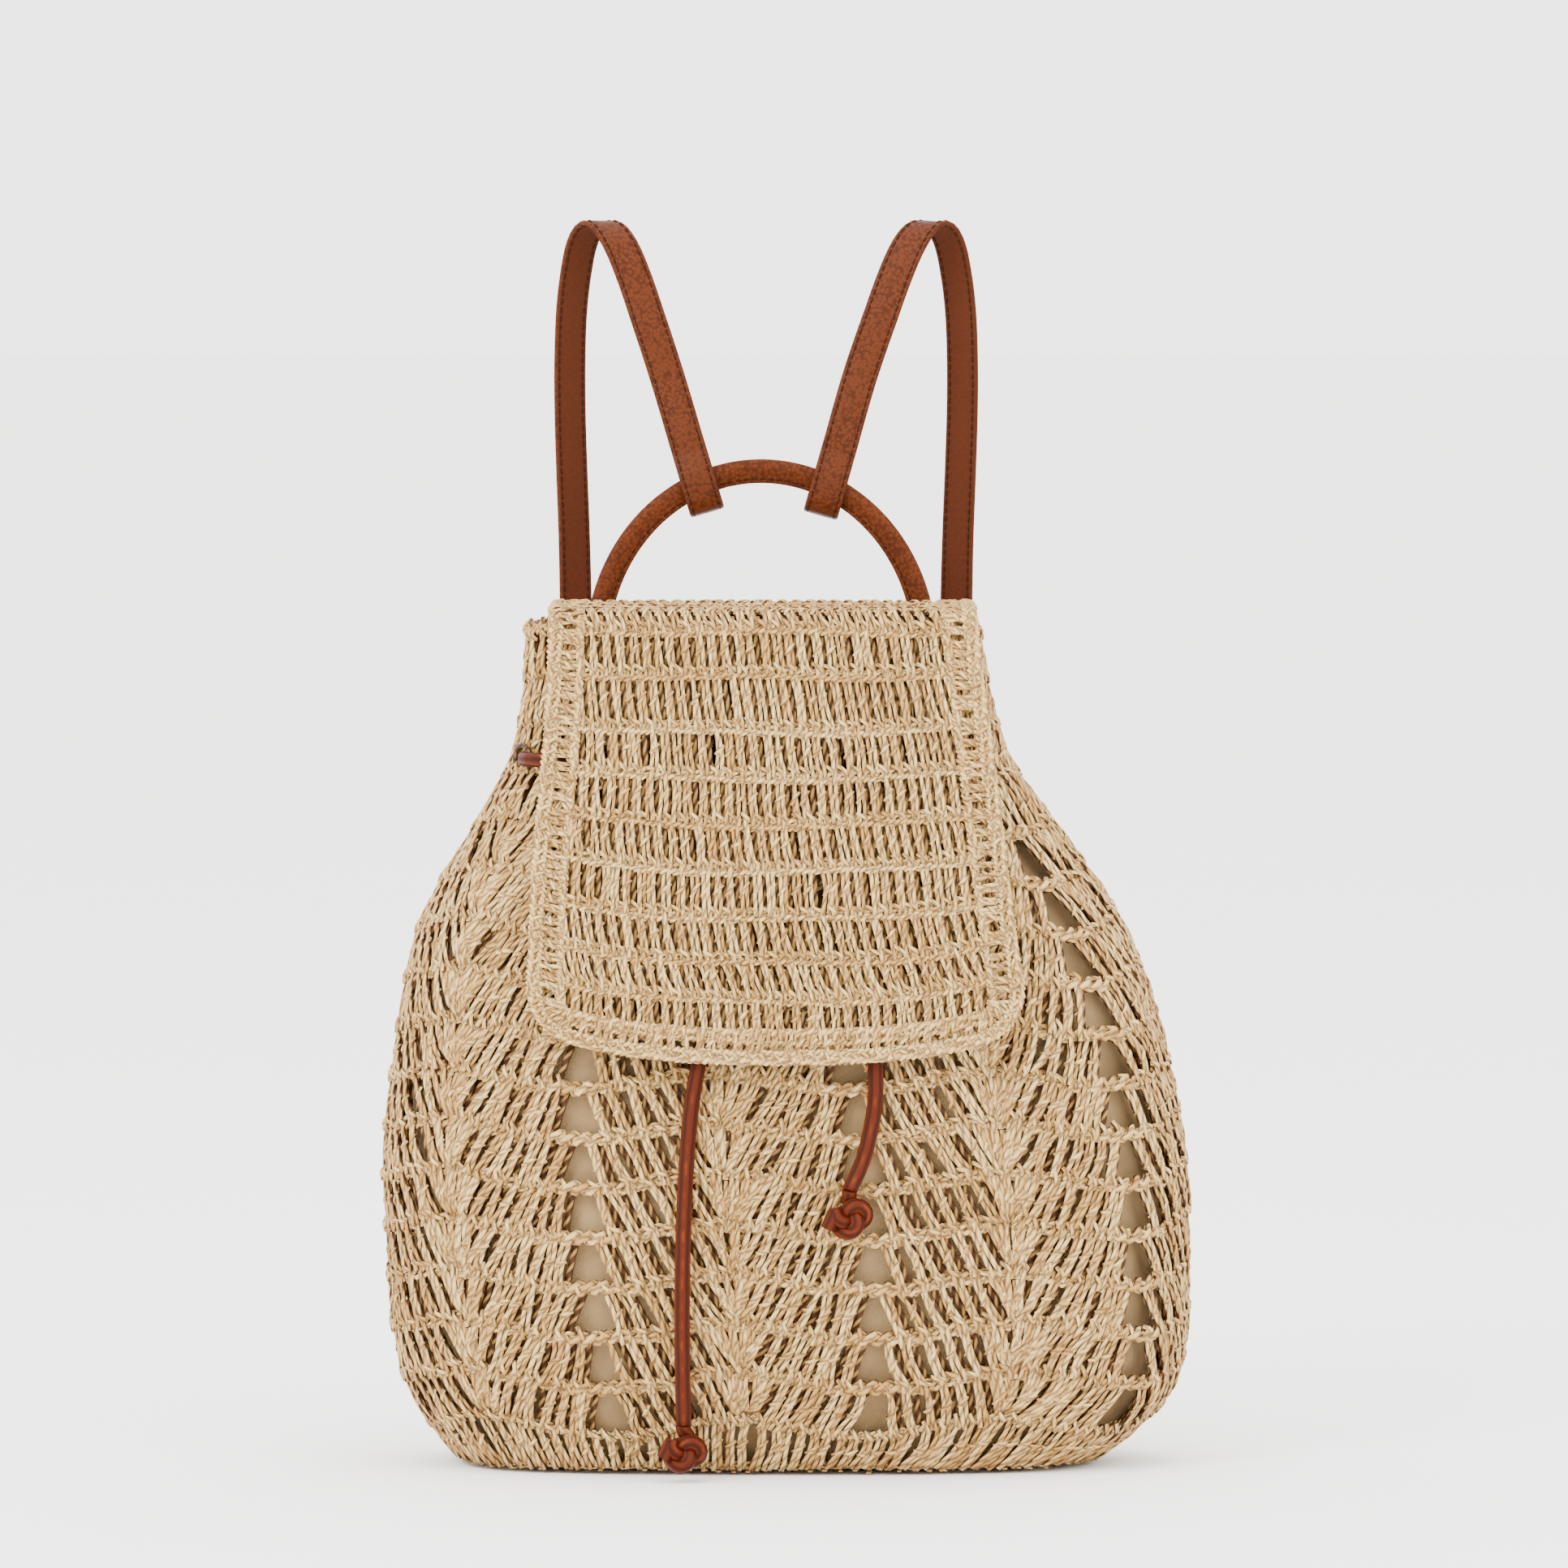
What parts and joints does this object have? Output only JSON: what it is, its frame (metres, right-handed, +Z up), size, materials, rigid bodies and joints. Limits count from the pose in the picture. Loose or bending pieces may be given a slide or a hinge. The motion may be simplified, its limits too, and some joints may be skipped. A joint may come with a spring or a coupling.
{
  "type": "woven straw drawstring backpack",
  "caption": "Gathered crochet straw backpack with a lining, fold-over flap, leather drawstring with knotted tails, carrying handle and two narrow shoulder straps.",
  "frame": {"origin": "middle of the flat base, on the surface that the bag stands on", "axes": "+Z up through the bag, +X to the right of someone looking at its front, and the front with the flap faces -Y"},
  "size_m": [0.3208, 0.1838, 0.4912],
  "materials": {
    "straw": "matte twisted paper straw, crocheted",
    "lining": "matte plain cloth",
    "strap_leather": "semi-matte grained tan leather",
    "cord_leather": "semi-gloss rolled leather",
    "eyelet_brass": "dark antique"
  },
  "bodies": {
    "root": {"bag_shell": "straw", "flap": "straw", "lining": "lining", "handle": "strap_leather", "strap_left": "strap_leather", "strap_right": "strap_leather", "drawstring": "cord_leather", "cord_tail_left": "cord_leather", "knot_left": "cord_leather", "cord_tail_right": "cord_leather", "knot_right": "cord_leather", "eyelet_1": "eyelet_brass", "eyelet_2": "eyelet_brass", "eyelet_3": "eyelet_brass", "eyelet_4": "eyelet_brass", "eyelet_5": "eyelet_brass", "eyelet_6": "eyelet_brass", "eyelet_7": "eyelet_brass", "eyelet_8": "eyelet_brass"}
  },
  "joints": []
}
